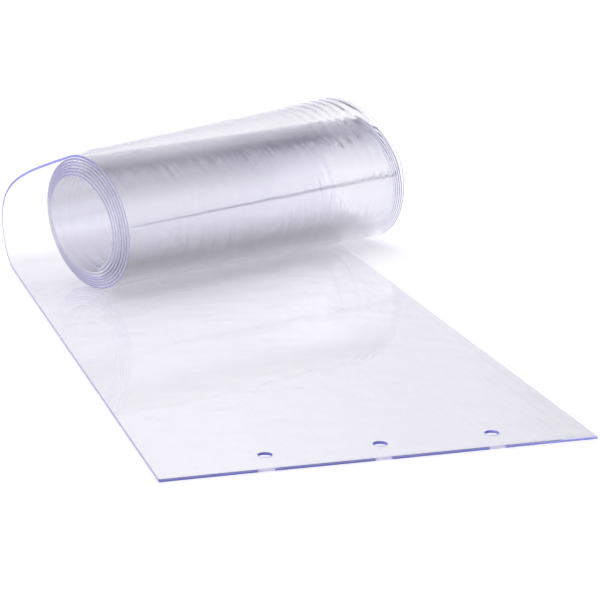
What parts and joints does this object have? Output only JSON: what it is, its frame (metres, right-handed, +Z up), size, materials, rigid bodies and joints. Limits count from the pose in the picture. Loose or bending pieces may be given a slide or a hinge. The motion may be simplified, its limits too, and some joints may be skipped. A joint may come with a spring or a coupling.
{
  "type": "pvc strip curtain strip",
  "caption": "Clear PVC door curtain strip with a row of fixing holes at one end, partly unrolled from its own roll.",
  "frame": {"origin": "middle of the whole footprint, on the floor", "axes": "+Y along the strip's flat run from the punched end towards the roll, +X across the strip, +Z up"},
  "size_m": [0.3516, 0.6586, 0.1288],
  "materials": {
    "clear_pvc": "clear extruded soft PVC, glossy, faintly blue, deep blue at the cut edges"
  },
  "bodies": {
    "rolled_length": {"seat_run": "clear_pvc", "rear_bend": "clear_pvc", "top_run": "clear_pvc", "wound_turns": "clear_pvc"},
    "free_length": {"free_run": "clear_pvc", "punched_end": "clear_pvc"}
  },
  "joints": [
    {"name": "free_end_lift", "type": "hinge", "parent": "rolled_length", "child": "free_length", "pos_m": [-0.02565, 0.00069, 0.002], "axis": [-1, 0, 0], "range_deg": [0, 60]}
  ]
}
